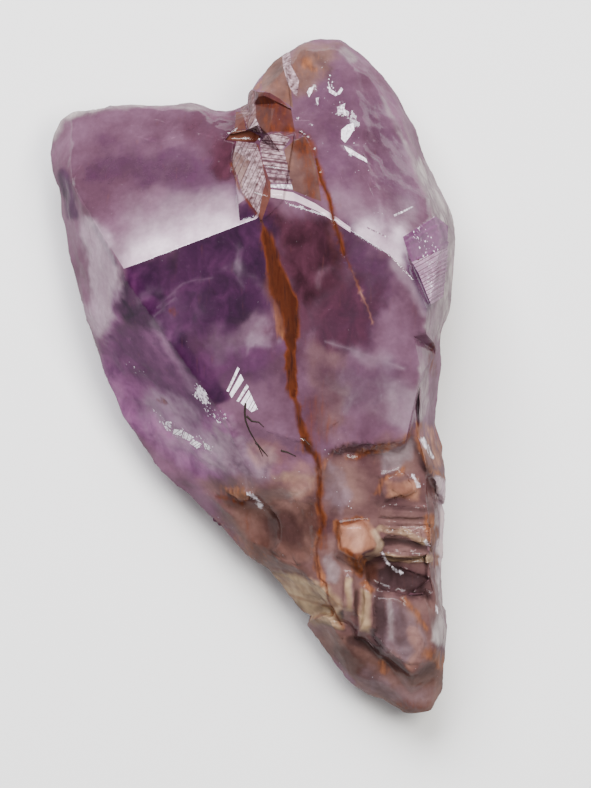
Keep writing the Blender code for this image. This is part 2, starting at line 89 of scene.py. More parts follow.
# Facets with an outline of their own in the photo: name, outline, how strong each shade is on it
# and how many mm it is lifted, and the compass angle, spacing and depth in mm of its growth steps
# (0 is smooth). A facet with no shade of its own keeps the clouds that lie over it.
FACETS = [
    # the notch between the two tips
    # The red facet is painted dark red-brown: its stain, and partly painted shade under the left tip's
    # rim.
    ("red facet", [(225, 141), (235, 130), (249, 131), (261, 137), (255, 143), (240, 142)],
     {"umber": 1.0}, 0, 0, 0),
    ("brown wall", [(236, 112), (243, 113), (246, 130), (235, 130)], {"umber": 0.8}, 0, 0, 0),
    ("brown slope", [(251, 90), (256, 92), (256, 119), (248, 130), (244, 118), (240, 110), (246, 95)],
     {"umber": 0.8, "silver_and_sheen": 0.35, "dull": 0.6}, 60, 0.7, 0.10),
    ("brown window", [(256, 92), (270, 94), (272, 133), (264, 135), (261, 130), (256, 119)],
     {"dusk": 0.7, "umber": 0.5, "dull": 1.0}, 0, 0, 0),
    ("brown side window", [(270, 94), (280, 100), (291, 110), (295, 133), (272, 133)],
     {"dusk": 0.4, "umber": 0.7, "dull": 0.8}, 0, 0, 0),
    # The bright triangle and the silver facets carry a painted sheen, for the light their striated faces
    # mirror, over their own pale colour.
    ("bright triangle", [(256, 119), (262, 134), (249, 130)], {"silver_and_sheen": 1.0}, 40, 0.7, 0.08),
    ("pale shoulder", [(262, 78), (271, 62), (282, 54), (284, 68), (291, 89), (293, 109), (280, 100),
                       (270, 94), (262, 92)], {"smoke": 0.9, "ochre": 0.2, "dull": 1.0}, 0, 0, 0),
    ("orange corner", [(253, 89), (262, 78), (262, 92), (256, 92)], {"ochre": 0.6}, 0, 0, 0),
    ("left silver facet", [(237, 142), (256, 144), (260, 155), (264, 171), (266, 183), (263, 194),
                           (259, 217), (255, 211), (242, 193), (243, 181), (251, 163), (242, 156),
                           (234, 152)], {"smoke": 0.6, "silver_and_sheen": 0.7}, 66, 0.8, 0.07),
    ("dark inner facet", [(242, 156), (251, 163), (243, 181), (242, 193), (238, 178), (232, 165),
                          (234, 152)], {"smoke": 0.8, "silver_and_sheen": 0.25}, 66, 0.9, 0.05),
    ("grey strip", [(256, 144), (259, 147), (263, 164), (271, 185), (271, 197), (261, 225), (259, 217),
                    (263, 194), (266, 183), (261, 157)], {"umber": 0.8, "dull": 0.6}, 0, 0, 0),
    ("right silver facet", [(260, 144), (265, 137), (279, 134), (290, 140), (283, 151), (286, 160),
                            (288, 171), (265, 168), (263, 164)],
     {"smoke": 0.5, "silver_and_sheen": 0.8}, -8, 1.3, 0.08),
    ("right lilac facet", [(265, 168), (288, 171), (292, 185), (271, 185)],
     {"silver_and_sheen": 0.6, "plum": 0.5}, -8, 1.1, 0.12),
    # The first cream strip carries a painted highlight.
    ("first cream strip", [(271, 186), (292, 186), (293, 191), (271, 189)], {"glint": 0.5}, 0, 0, 0),
    ("second cream strip", [(271, 191), (293, 194), (315, 205), (335, 218), (350, 229), (350, 234),
                            (335, 224), (318, 213), (296, 203), (271, 199)],
     {"milk": 0.7, "cream": 0.3}, 0, 0, 0),
    ("lilac window", [(284, 151), (294, 142), (305, 137), (312, 152), (318, 180), (321, 203), (293, 192),
                      (288, 171)], {"smoke": 0.8, "pink": 0.15, "umber": 0.25}, 0, 0, 0),
    ("crown sliver", [(282, 53), (290, 52), (291, 66), (299, 81), (298, 89), (290, 89), (287, 82),
                      (283, 67)], {"silver_and_sheen": 0.8, "cream": 0.3}, 6, 0, 0),
    ("crown sliver foot", [(290, 89), (298, 89), (297, 97), (294, 95)], {"silver_and_sheen": 0.8}, 6, 0.5, 0.06),
    # painted glints: highlights where small breaks on the right crystal's dome catch the light
    ("glint a", [(309, 89), (314, 87), (312, 93), (309, 98), (307, 93)], {"glint": 0.65}, 0, 0, 0),
    ("glint b", [(316, 99), (319, 98), (318, 105), (316, 103)], {"glint": 0.5}, 0, 0, 0),
    ("glint c", [(328, 82), (331, 90), (337, 94), (341, 88), (343, 90), (340, 95), (335, 97), (329, 93)],
     {"glint": 0.55}, 0, 0, 0),
    ("glint d", [(337, 108), (345, 104), (344, 110), (349, 113), (348, 118), (342, 115), (338, 117)],
     {"glint": 0.5}, 0, 0, 0),
    ("glint e", [(341, 131), (347, 126), (353, 124), (354, 130), (350, 137), (345, 144), (341, 140)],
     {"glint": 0.7}, 0, 0, 0),
    ("glint f", [(344, 147), (350, 150), (366, 160), (367, 164), (359, 160), (347, 153)],
     {"glint": 0.6}, 0, 0, 0),
    ("glint g", [(393, 216), (412, 207), (413, 208), (394, 218)], {"glint": 0.45}, 0, 0, 0),
    ("glint h", [(366, 228), (385, 237), (386, 239), (367, 230)], {"glint": 0.35}, 0, 0, 0),
    ("stepped face top", [(402, 238), (435, 217), (448, 226), (447, 248), (411, 263), (406, 251)],
     {"violet": 0.7, "deep": 0.45, "milk": 0.1, "line": 0.3}, 30, 1.9, 0.25),
    ("stepped face", [(411, 263), (447, 248), (447, 256), (442, 298), (430, 305), (418, 275)],
     {"violet": 0.6, "milk": 0.4, "line": 0.75}, 30, 0.85, 0.35),
    # the striped glint on the left front face, a painted highlight
    ("stripe a", [(227, 391), (238, 367), (240, 369), (229, 392)], {"glint": 0.6}, 0, 0, 0),
    ("stripe b", [(230, 394), (241, 374), (244, 380), (232, 398)], {"glint": 0.8}, 0, 0, 0),
    ("stripe c", [(237, 401), (247, 384), (249, 387), (239, 402)], {"glint": 0.6}, 0, 0, 0),
    ("stripe d", [(241, 403), (249, 390), (258, 409), (252, 412)], {"glint": 1.0}, 60, 0.8, 0.04),
    # painted glints where small breaks low on the left crystal's flank catch the light
    ("flank glint a", [(174, 429), (183, 430), (181, 436), (173, 434)], {"glint": 0.7}, 35, 0.6, 0.05),
    ("flank glint b", [(184, 431), (194, 437), (190, 441), (182, 438)], {"glint": 0.6}, 70, 0.6, 0.05),
    ("flank glint c", [(193, 439), (202, 444), (197, 449), (190, 443)], {"glint": 0.65}, 35, 0.6, 0.05),
    ("flank glint d", [(203, 441), (209, 445), (212, 451), (205, 449)], {"glint": 0.5}, 70, 0.6, 0.05),
    # the root, where the shades are soft and only the relief is crisp
    ("ledge", [(224, 489), (248, 488), (255, 494), (250, 499), (243, 502), (233, 496)],
     {"lift": 0.5}, 0, 0, 0),
    ("brown band", [(377, 503), (402, 505), (433, 507), (434, 524), (400, 525), (378, 524)],
     {"line": 0.25}, -3, 1.7, 0.16),
    ("cream band", [(380, 525), (400, 526), (430, 527), (430, 541), (418, 542), (405, 535), (385, 535)],
     {"line": 0.35, "lift": 0.25}, -3, 0.8, 0.12),
    ("grey band", [(383, 536), (405, 536), (418, 543), (431, 543), (432, 552), (386, 550)],
     {"lift": -0.35}, 0, 0, 0),
    ("low cream band", [(387, 552), (432, 553), (432, 562), (410, 563), (388, 560)],
     {"line": 0.35, "lift": 0.2}, -3, 0.9, 0.12),
    ("dark hollow", [(377, 570), (388, 564), (402, 567), (416, 573), (430, 577), (433, 592), (419, 597),
                     (398, 592), (380, 590)], {"lift": -0.6}, 0, 0, 0),
    ("right strip", [(436, 476), (445, 476), (444, 518), (442, 560), (437, 558), (437, 522), (434, 502)],
     {"lift": 0.3}, 0, 0, 0),
    ("pale block", [(375, 596), (398, 597), (408, 605), (424, 628), (425, 645), (422, 664), (408, 664),
                    (387, 652), (374, 638)], {"line": 0.1, "lift": 0.3}, 88, 2.6, 0.14),
    ("cream layers", [(268, 568), (300, 574), (322, 582), (332, 606), (310, 606), (288, 596)],
     {"line": 0.25}, -12, 1.5, 0.16),
    ("low cream layers", [(310, 617), (328, 620), (345, 622), (345, 630), (322, 628)],
     {"line": 0.35}, -10, 0.9, 0.12),
    ("upper step", [(334, 449), (347, 442), (372, 444), (366, 450), (356, 459), (345, 456)],
     {"lift": -0.5}, 0, 0, 0),
    ("lower step", [(384, 484), (388, 478), (403, 471), (410, 478), (416, 490), (402, 496)],
     {"lift": 0.5}, 0, 0, 0),
    ("lilac plane", [(262, 506), (298, 499), (312, 502), (312, 540), (314, 556), (296, 564), (264, 553)],
     {"lift": -0.12}, 0, 0, 0),
]

# Lines that are crisp in the photo: kind, strength, points and half width and soft edge in mm.
MAIN_VEIN = [(262, 222), (267, 240), (276, 262), (284, 297), (287, 316), (290, 340), (291, 362),
             (289, 378), (293, 394), (298, 410), (301, 434), (306, 446), (316, 459), (321, 471),
             (320, 493), (320, 514), (320, 534), (316, 545), (317, 559), (320, 578), (326, 583),
             (328, 599), (334, 612), (342, 625)]
LINES = [
    ("umber", 0.8, MAIN_VEIN, 0.02, 0.4),
    ("rust", 0.6, [(300, 133), (308, 139), (314, 152), (321, 181), (329, 199), (334, 224)], 0.1, 1.3),
    ("rust", 0.85, [(316, 160), (321, 181), (329, 199), (334, 224), (339, 240), (344, 256)], 0.1, 0.8),
    ("rust", 0.5, [(344, 256), (351, 271), (359, 291)], 0.05, 0.5),
    ("pink", 0.4, [(351, 271), (359, 291), (367, 308), (373, 326)], 0.02, 0.4),
    ("milk", 0.2, [(325, 342), (351, 350), (383, 361), (403, 369)], 0.02, 0.6),
    ("rust", 0.6, [(231, 164), (240, 192), (258, 217)], 0.1, 0.5),
    ("line", 0.9, [(262, 144), (286, 147)], 0.05, 0.4),
    ("line", 0.9, [(263, 162), (287, 165)], 0.15, 0.35),
    ("line", 0.9, [(265, 170), (289, 173)], 0.15, 0.35),
    ("line", 0.9, [(269, 180), (291, 182)], 0.25, 0.4),
    ("deep", 0.9, [(95, 227), (105, 244), (116, 265)], 0.1, 0.8),
    ("milk", 0.15, [(155, 317), (176, 298)], 0.02, 0.4),
    ("milk", 0.14, [(158, 308), (184, 284), (196, 281), (212, 279)], 0.02, 0.5),
]

# Soft shades: kind, strength, points, width in mm (0 fills the outline), soft edge and wander in mm.
# A last word keeps a shade on the faces towards the tips, or on the front faces.
CLOUDS = [
    ("dull", 1.0, [(112, 325), (118, 262), (135, 268), (215, 402), (243, 440), (300, 520), (310, 640),
                   (200, 560), (80, 400)], 0, 1.5, 0.5),
    ("violet", 0.9, [(106, 336), (160, 320), (215, 402), (243, 440), (260, 470), (200, 480), (80, 400)],
     0, 2.5, 0.5),
    ("deep", 1.0, [(128, 266), (160, 256), (165, 300), (160, 330), (128, 322), (116, 308)],
     0, 2.0, 0.6, "front"),
    ("deep", 0.35, [(130, 340), (165, 372), (200, 405)], 3.0, 4.0, 1.0),
    # the left front face
    ("deep", 0.9, [(262, 215), (135, 262), (124, 290), (140, 320), (170, 335), (225, 330), (270, 315),
                   (275, 260)], 0, 4.0, 1.5, "front"),
    ("deep", 0.55, [(160, 325), (200, 400), (270, 390), (285, 330)], 0, 4.0, 2.0, "front"),
    ("deep", 0.9, [(262, 222), (240, 235), (205, 245), (250, 255)], 4.0, 5.0, 1.5, "front"),
    ("deep", 1.0, [(138, 310), (150, 314)], 2.0, 2.5, 0.6, "front"),
    ("deep", 1.0, [(178, 340), (185, 356), (196, 368), (207, 378), (221, 396)], 1.4, 2.0, 0.5),
    ("deep", 0.9, [(187, 284), (203, 282)], 1.5, 2.0, 0.6),
    ("deep", 0.7, [(200, 300), (225, 310), (250, 300)], 2.0, 6.0, 2.0),
    ("deep", 0.2, [(210, 362), (245, 368), (282, 362)], 3.0, 5.0, 1.5),
    ("rust", 0.4, [(302, 150), (308, 172), (312, 196)], 1.0, 2.0, 0.8),
    ("deep", 0.5, [(120, 345), (150, 385), (190, 420)], 4.0, 7.0, 2.0),
    ("violet", 0.6, [(150, 280), (147, 303)], 1.5, 2.5, 1.0),
    ("violet", 0.5, [(165, 350), (180, 330), (215, 325)], 2.0, 4.0, 1.5),
    ("violet", 0.5, [(215, 360), (250, 360), (275, 345)], 2.0, 4.0, 1.5),
    ("milk", 0.15, [(237, 246), (240, 263), (243, 285)], 0.3, 1.2, 0.6),
    ("milk", 0.12, [(224, 270), (241, 266), (266, 290)], 0.3, 1.2, 0.6),
    ("milk", 0.2, [(256, 345), (265, 338), (275, 340)], 0.4, 2.4, 1.6),
    ("frost", 0.42, [(254, 345), (266, 338), (276, 342)], 1.0, 1.6, 0.8),
    ("milk", 0.15, [(220, 345), (245, 340), (262, 325)], 1.0, 4.0, 1.5),
    ("violet", 0.5, [(168, 330), (178, 312), (192, 298)], 2.0, 3.5, 1.2),
    ("milk", 0.07, [(166, 335), (178, 315), (198, 305)], 3.0, 4.5, 1.5),
    ("milk", 0.13, [(141, 300), (149, 297), (157, 293)], 0.8, 1.8, 0.8, "front"),
    ("milk", 0.16, [(157, 322), (163, 340), (182, 370), (194, 390)], 0.4, 1.8, 0.6),
    ("frost", 0.55, [(201, 395), (212, 412), (222, 418)], 2.0, 1.5, 0.5),
    ("frost", 0.5, [(196, 385), (206, 398)], 0.8, 1.0, 0.4),
    ("frost", 0.48, [(112, 356), (128, 366), (146, 374)], 0.8, 1.5, 0.5),
    ("frost", 0.5, [(172, 428), (186, 438), (203, 446)], 2.5, 2.5, 0.8),
    ("frost", 0.46, [(92, 325), (100, 335)], 1.5, 1.5, 0.5),
    ("milk", 0.28, [(160, 412), (185, 432), (205, 448)], 3.0, 6.0, 1.5),
    ("frost", 0.5, [(152, 412), (166, 426)], 1.0, 1.6, 0.6),
    ("rust", 0.55, [(172, 311), (175, 313)], 0.5, 0.8, 0.2),
    ("rust", 0.45, [(161, 402), (165, 404)], 0.5, 0.9, 0.3),
    # the pale faces towards the tips
    # The milky shades kept to the faces towards the tips are the quartz's milky cloud, and partly a
    # painted sheen where these faces meet the light.
    ("milk", 0.72, [(256, 222), (215, 222), (170, 230), (145, 238), (128, 256), (122, 285), (140, 290),
                  (200, 260), (262, 235)], 0, 3.6, 0.3, "tips"),
    ("milk", 0.34, [(250, 222), (215, 226), (170, 235), (140, 250)], 2.0, 9.0, 0.4, "tips"),
    ("milk", 0.14, [(225, 205), (180, 202), (140, 208)], 2.0, 6.0, 1.0, "tips"),
    ("milk", 0.4, [(92, 230), (102, 258), (107, 285), (98, 320)], 3.0, 3.0, 1.0),
    ("violet", 0.8, [(124, 292), (117, 318), (112, 336), (130, 345)], 1.5, 1.6, 0.5),
    ("milk", 0.6, [(365, 236), (392, 256), (398, 240)], 0.8, 4.5, 0.8, "tips"),
    ("milk", 0.2, [(340, 205), (375, 222), (400, 220)], 2.0, 5.5, 1.2, "tips"),
    ("deep", 0.5, [(110, 165), (160, 172), (220, 178)], 4.0, 6.0, 2.0, "tips"),
    ("deep", 0.8, [(62, 175), (68, 195), (74, 215)], 1.0, 1.6, 0.5),
    ("plum", 0.8, [(242, 125), (236, 150), (228, 170)], 2.0, 4.5, 1.0, "tips"),
    ("plum", 0.5, [(225, 150), (205, 130)], 3.0, 6.0, 1.5, "tips"),
    # the right front face
    ("plum", 1.0, [(268, 215), (329, 219), (345, 245), (340, 290), (300, 310), (285, 285)],
     0, 3.0, 1.2, "front"),
    ("plum", 0.6, [(300, 330), (340, 320), (360, 300)], 5.0, 8.0, 3.0),
    ("deep", 0.6, [(355, 250), (375, 270), (365, 310), (345, 330)], 4.0, 7.0, 2.5),
    ("umber", 0.35, [(330, 225), (333, 245), (338, 265)], 1.0, 1.6, 0.5, "front"),
    ("umber", 0.25, [(275, 208), (285, 212)], 2.0, 2.0, 0.5, "front"),
    ("milk", 0.12, [(330, 270), (321, 275), (319, 285)], 0.4, 1.5, 0.6),
    ("milk", 0.2, [(355, 352), (385, 364)], 0.8, 3.0, 1.0),
    ("milk", 0.25, [(400, 395), (412, 400), (405, 418)], 2.0, 5.0, 1.0),
    ("smoke", 0.5, [(325, 360), (328, 390), (330, 420)], 3.0, 5.0, 1.5),
    ("rim", 0.25, [(350, 395), (380, 400), (410, 410)], 5.0, 7.0, 2.0),
    ("deep", 0.45, [(345, 385), (385, 385)], 4.0, 6.0, 2.0),
    ("plum", 0.35, [(310, 400), (330, 425)], 3.0, 5.0, 2.0),
    ("milk", 0.25, [(395, 262), (408, 285), (424, 311)], 0.8, 2.0, 0.5),
    # the dome and the right edge
    ("deep", 0.35, [(375, 110), (388, 150), (402, 200)], 3.0, 4.5, 1.2),
    ("deep", 0.85, [(400, 240), (407, 256), (417, 283), (427, 306)], 1.2, 1.4, 0.3),
    ("deep", 0.35, [(325, 80), (335, 130), (345, 170)], 3.0, 6.0, 2.0),
    ("smoke", 0.8, [(268, 75), (300, 40), (345, 45), (330, 70), (300, 100)], 0, 3.0, 1.2),
    ("ochre", 0.3, [(290, 62), (312, 48), (328, 52), (318, 78), (296, 84)], 0, 2.4, 1.2),
    ("rim", 0.5, [(345, 52), (353, 58)], 0.8, 1.5, 0.4),
    ("frost", 0.45, [(330, 95), (345, 125), (362, 170)], 2.5, 3.0, 0.8),
    ("milk", 0.1, [(355, 64), (369, 122), (375, 170), (382, 229)], 0.1, 0.8, 0.2),
    ("rim", 0.4, [(383, 98), (400, 134), (417, 168), (433, 192), (449, 214)], 0.1, 1.2, 0.2),
    ("milk", 0.1, [(396, 150), (408, 190), (416, 212)], 1.5, 3.5, 1.0),
    ("frost", 0.54, [(420, 235), (432, 258), (436, 290)], 3.0, 2.4, 0.5),
    ("glint", 0.55, [(405, 240), (434, 219), (446, 227)], 0.1, 0.35, 0.1),
    ("frost", 0.45, [(374, 210), (383, 228)], 1.2, 1.8, 0.5),
    # The rims here are the edges' own grey, with a painted glow where the thin edges let light through.
    ("rim", 0.7, [(427, 170), (446, 210), (455, 260), (448, 300), (438, 330)], 2.5, 3.0, 0.6),
    ("rim", 0.5, [(60, 112), (95, 106), (150, 104), (210, 106)], 0.8, 1.2, 0.4),
    ("rim", 0.6, [(51, 132), (55, 114), (75, 106), (95, 105)], 1.5, 2.2, 0.5),
    ("rim", 0.5, [(425, 350), (423, 380), (421, 415)], 1.0, 1.2, 0.4),
    # the root
    ("smoke", 0.7, [(200, 480), (300, 474), (322, 455), (350, 440), (412, 435), (450, 440), (450, 725),
                    (390, 725), (300, 625), (240, 560)], 0, 3.0, 1.0),
    ("pink", 0.3, [(262, 450), (285, 462), (300, 478)], 3.0, 4.0, 1.5),
    ("lilac", 0.6, [(222, 446), (236, 458), (256, 466)], 5.0, 4.0, 1.5),
    ("umber", 0.3, [(232, 508), (262, 508), (300, 498), (314, 502), (314, 555), (296, 566), (264, 556)],
     0, 2.0, 1.0),
    ("dusk", 0.75, [(262, 512), (285, 505), (305, 515), (300, 545), (275, 550)], 0, 3.0, 1.5),
    ("smoke", 0.8, [(225, 500), (262, 508), (300, 498), (314, 502), (314, 555), (296, 566), (250, 556)],
     0, 2.0, 1.0),
    ("ochre", 0.4, [(215, 520), (240, 545), (262, 562)], 0.5, 1.6, 0.6),
    ("lilac", 0.5, [(376, 447), (410, 438), (410, 462), (381, 476)], 0, 1.5, 0.6),
    ("rim", 0.35, [(376, 447), (410, 438), (410, 462), (381, 476)], 0, 1.5, 0.6),
    ("lilac", 0.5, [(330, 458), (345, 470), (352, 500), (340, 515), (326, 500)], 0, 1.5, 0.8),
    # Painted shade under the orange steps.
    ("dusk", 0.45, [(334, 453), (344, 447), (360, 444)], 0.8, 1.6, 0.6),
    ("dusk", 0.55, [(412, 438), (415, 448), (424, 466)], 0.8, 1.2, 0.4),
    ("pink", 0.5, [(384, 480), (416, 478), (420, 500), (384, 500)], 0, 1.2, 0.5),
    ("dusk", 0.4, [(378, 505), (402, 508), (430, 509)], 0.6, 0.9, 0.2),
    ("cream", 0.5, [(381, 528), (402, 531), (424, 541)], 0.9, 0.8, 0.2),
    ("dusk", 0.6, [(383, 542), (402, 541), (430, 549)], 0.9, 0.8, 0.2),
    ("cream", 0.5, [(386, 556), (410, 559), (431, 558)], 0.9, 0.8, 0.2),
    # Painted shade in the dark hollow.
    ("dusk", 0.85, [(376, 570), (389, 563), (404, 567), (424, 572), (433, 596), (410, 597), (398, 592),
                    (376, 590)], 0, 1.5, 0.7),
    ("dusk", 0.45, [(380, 578), (398, 577), (412, 584)], 1.2, 1.4, 0.5),
    ("smoke", 0.6, [(361, 565), (378, 562), (378, 580), (366, 580)], 0, 0.8, 0.3),
    ("umber", 0.6, [(361, 565), (378, 562), (378, 580), (366, 580)], 0, 0.8, 0.3),
    ("pink", 0.6, [(335, 520), (343, 523), (361, 518), (369, 521), (377, 534), (376, 550), (362, 555),
                   (347, 556), (341, 546), (336, 534)], 0, 1.0, 0.5),
    ("milk", 0.12, [(350, 534), (360, 532), (358, 544)], 1.2, 1.6, 0.5),
    ("milk", 0.2, [(374, 532), (380, 543), (376, 554), (368, 557)], 0.5, 0.7, 0.2),
    ("cream", 0.5, [(374, 532), (380, 543), (376, 554), (368, 557)], 0.7, 0.8, 0.2),
    ("ochre", 0.9, [(337, 522), (345, 521), (361, 518), (368, 519)], 0.2, 1.1, 0.5),
    ("rust", 0.55, [(338, 521), (345, 520), (352, 521), (361, 518)], 0.1, 0.9, 0.4),
    ("ochre", 0.9, [(336, 522), (336, 536), (343, 550), (350, 556)], 0.3, 1.1, 0.6),
    ("rust", 0.5, [(337, 523), (336, 535), (342, 548), (351, 555)], 0.05, 0.7, 0.5),
    ("ochre", 0.8, [(343, 557), (352, 553), (362, 555), (367, 560), (361, 576), (352, 572)],
     0, 0.9, 0.5),
    ("rust", 0.5, [(349, 556), (356, 562), (360, 574)], 0.2, 1.0, 0.6),
    ("dusk", 0.6, [(364, 563), (372, 566), (371, 578)], 0.6, 0.9, 0.4),
    ("ochre", 0.8, [(365, 583), (371, 589)], 0.8, 1.0, 0.3),
    ("rim", 0.35, [(322, 556), (331, 551), (340, 568), (339, 586), (325, 582)], 0, 1.1, 0.4),
    ("lilac", 0.4, [(323, 556), (331, 552), (340, 568), (338, 584), (325, 580)], 0, 0.7, 0.3),
    ("milk", 0.2, [(347, 578), (353, 580), (353, 608), (349, 608)], 0, 0.7, 0.2),
    ("cream", 0.7, [(344, 576), (352, 577), (353, 611), (346, 610)], 0, 0.8, 0.3),
    ("milk", 0.22, [(365, 592), (371, 594), (369, 630), (364, 629)], 0, 0.7, 0.2),
    ("cream", 0.7, [(361, 588), (372, 592), (370, 633), (360, 631)], 0, 0.8, 0.3),
    ("dusk", 0.5, [(357, 590), (357, 628)], 0.3, 0.8, 0.2),
    ("rim", 0.15, [(384, 604), (405, 612), (420, 640), (418, 662), (400, 656), (386, 640)],
     0, 2.0, 0.6),
    ("lilac", 0.5, [(374, 596), (400, 597), (420, 622), (428, 645), (424, 668), (406, 666), (387, 654),
                     (373, 640)], 0, 1.8, 0.6),
    ("dusk", 0.65, [(380, 598), (379, 642)], 1.4, 1.8, 0.4),
    ("dusk", 0.3, [(399, 602), (402, 640)], 1.0, 1.8, 0.4),
    ("smoke", 0.7, [(405, 610), (418, 630), (420, 655)], 1.5, 2.0, 0.5),
    ("dusk", 0.3, [(392, 620), (405, 640), (410, 655)], 2.0, 2.5, 0.8),
    ("rim", 0.35, [(390, 600), (391, 636)], 0.5, 0.8, 0.2),
    ("pink", 0.35, [(412, 630), (420, 650), (412, 665)], 1.2, 1.6, 0.4),
    ("cream", 0.6, [(262, 566), (300, 573), (324, 580), (341, 600), (343, 628), (316, 626), (290, 602)],
     0, 1.2, 0.5),
    ("milk", 0.1, [(284, 580), (308, 583), (326, 592)], 1.2, 1.6, 0.6),
    ("smoke", 0.4, [(262, 560), (285, 566), (310, 572)], 0.6, 1.2, 0.5),
    ("dusk", 0.75, [(288, 602), (306, 607), (324, 611), (341, 614)], 0.8, 0.9, 0.3),
    ("dusk", 0.6, [(264, 568), (290, 577), (314, 585)], 0.05, 0.7, 0.3),
    ("umber", 0.5, [(280, 592), (302, 600), (322, 604), (342, 606)], 0.05, 0.7, 0.3),
    ("dusk", 0.6, [(300, 618), (320, 623), (343, 629)], 0.1, 0.8, 0.3),
    ("dusk", 0.5, [(283, 590), (305, 595), (324, 598)], 0.3, 0.8, 0.3),
    ("smoke", 0.7, [(312, 634), (343, 634), (371, 644), (415, 676), (447, 652), (445, 725), (390, 725)],
     0, 1.5, 0.5),
    # Painted shadow line along the tip.
    ("dusk", 0.6, [(350, 641), (370, 647), (387, 660), (404, 670)], 1.0, 1.4, 0.4),
    ("lilac", 0.4, [(370, 680), (400, 695), (420, 700)], 3.0, 3.0, 1.0),
    ("rim", 0.75, [(436, 475), (449, 475), (449, 650), (432, 640), (438, 600), (434, 550), (437, 522)],
     0, 1.0, 0.4),
    ("milk", 0.35, [(437, 478), (449, 476), (449, 600), (440, 596), (438, 560)], 0, 0.9, 0.3),
    ("cream", 0.35, [(442, 480), (442, 560)], 1.2, 1.2, 0.4),
    ("pink", 0.5, [(422, 424), (438, 424), (442, 451), (444, 468), (434, 466), (420, 446)],
     0, 1.0, 0.4),
    ("ochre", 0.8, [(420, 424), (417, 440), (423, 458), (432, 470), (443, 474)], 0.2, 1.1, 0.6),
    ("ochre", 0.6, [(436, 424), (442, 445), (446, 466)], 0.2, 1.1, 0.5),
    ("ochre", 0.6, [(350, 456), (366, 449), (387, 446), (400, 440), (411, 432)], 0.1, 1.3, 0.7),
    ("rust", 0.5, [(356, 457), (366, 449), (387, 446)], 0.1, 0.9, 0.5),
    ("ochre", 0.5, [(322, 466), (334, 450), (347, 442)], 0.2, 1.5, 0.7),
    ("ochre", 0.7, [(377, 494), (381, 484), (388, 476), (403, 469)], 0.1, 1.3, 0.6),
    ("ochre", 0.85, [(220, 488), (246, 487), (254, 494), (246, 501), (230, 496)], 0, 1.1, 0.5),
    ("rust", 0.5, [(216, 496), (232, 499), (244, 505)], 0.1, 0.9, 0.4),
    ("cream", 0.5, [(228, 490), (246, 489), (251, 494), (240, 497)], 0, 1.0, 0.4),
    ("rim", 0.35, [(264, 500), (276, 488), (290, 483), (309, 478), (305, 492), (285, 497)],
     0, 1.8, 1.0),
    ("cream", 0.3, [(276, 479), (290, 476), (309, 476)], 0.3, 2.0, 0.8),
    # Painted glints along small breaks and edges of the root.
    ("glint", 0.8, [(422, 439), (427, 448), (432, 457)], 0.4, 0.5, 0.1),
    ("glint", 0.6, [(412, 475), (418, 486)], 0.2, 0.5, 0.1),
    ("glint", 0.85, [(382, 553), (387, 563), (393, 569), (402, 575)], 0.05, 0.4, 0.1),
    ("glint", 0.6, [(251, 493), (257, 499), (261, 506)], 0.2, 0.6, 0.2),
    ("glint", 0.5, [(425, 540), (428, 545)], 0.3, 0.5, 0.1),
    ("glint", 0.7, [(437, 607), (437, 611)], 0.4, 0.4, 0.1),
    ("frost", 0.45, [(335, 488), (345, 498), (355, 506)], 1.5, 2.0, 0.6),
    ("frost", 0.42, [(246, 466), (256, 474), (275, 480)], 1.5, 2.0, 0.6),
    ("frost", 0.42, [(322, 455), (345, 470), (362, 462)], 1.5, 2.5, 0.8),
    ("frost", 0.42, [(395, 655), (415, 668)], 1.2, 1.5, 0.5),
    ("dusk", 0.35, [(326, 470), (336, 490), (334, 512)], 0.8, 2.0, 0.6),
    ("dusk", 0.3, [(375, 500), (400, 498)], 0.5, 1.5, 0.4),
    ("dusk", 0.35, [(345, 660), (380, 690), (410, 712)], 1.0, 3.0, 1.0),
    ("milk", 0.4, [(441, 480), (443, 520), (440, 560)], 0.8, 1.0, 0.3),
    ("dull", 0.85, [(262, 450), (322, 455), (350, 440), (412, 435), (450, 440), (450, 725), (390, 725),
                   (300, 625), (240, 560)], 0, 3.0, 1.0),
    # hematite stain
    ("rust", 0.8, MAIN_VEIN[5:9], 1.5, 0.9, 0.7),
    ("rust", 0.7, MAIN_VEIN[8:12], 0.5, 1.0, 0.7),
    ("ochre", 0.6, MAIN_VEIN[10:16], 0.8, 1.4, 0.9),
    ("rust", 0.5, MAIN_VEIN[11:17], 0.1, 1.0, 0.8),
    ("ochre", 0.6, MAIN_VEIN[15:20], 0.2, 1.4, 0.9),
    ("ochre", 0.6, MAIN_VEIN[18:], 0.1, 1.0, 0.5),
    ("pink", 0.3, [(270, 286), (277, 298), (284, 318), (288, 340), (280, 340), (276, 322)],
     0, 1.0, 0.4),
    ("ochre", 0.9, [(266, 262), (272, 290), (284, 318), (288, 342), (279, 338), (274, 315)],
     0, 1.0, 0.4),
    ("umber", 0.6, [(268, 280), (275, 300), (284, 322), (289, 340)], 0.5, 1.4, 0.5),
    ("rust", 0.88, [(261, 226), (264, 248), (267, 276), (275, 300), (282, 320), (286, 340), (292, 347),
                    (299, 338), (298, 297), (286, 280), (272, 235)], 0, 0.7, 0.4),
    ("rust", 0.45, [(264, 235), (268, 262), (273, 296)], 0.4, 0.7, 0.2),
    ("rust", 0.5, [(275, 250), (285, 280), (293, 300), (294, 335)], 0.4, 0.9, 0.3),
    ("rust", 0.4, [(292, 350), (293, 375)], 1.2, 1.2, 0.3),
    ("rust", 0.4, [(300, 425), (310, 445), (318, 460)], 1.2, 1.6, 0.5),
    ("rust", 0.35, [(320, 480), (320, 530), (322, 545)], 1.0, 1.6, 0.5),
    ("rust", 0.3, [(315, 410), (320, 430)], 2.5, 3.0, 1.0),
    ("rust", 0.4, [(290, 134), (300, 140), (303, 150)], 1.2, 1.8, 0.5),
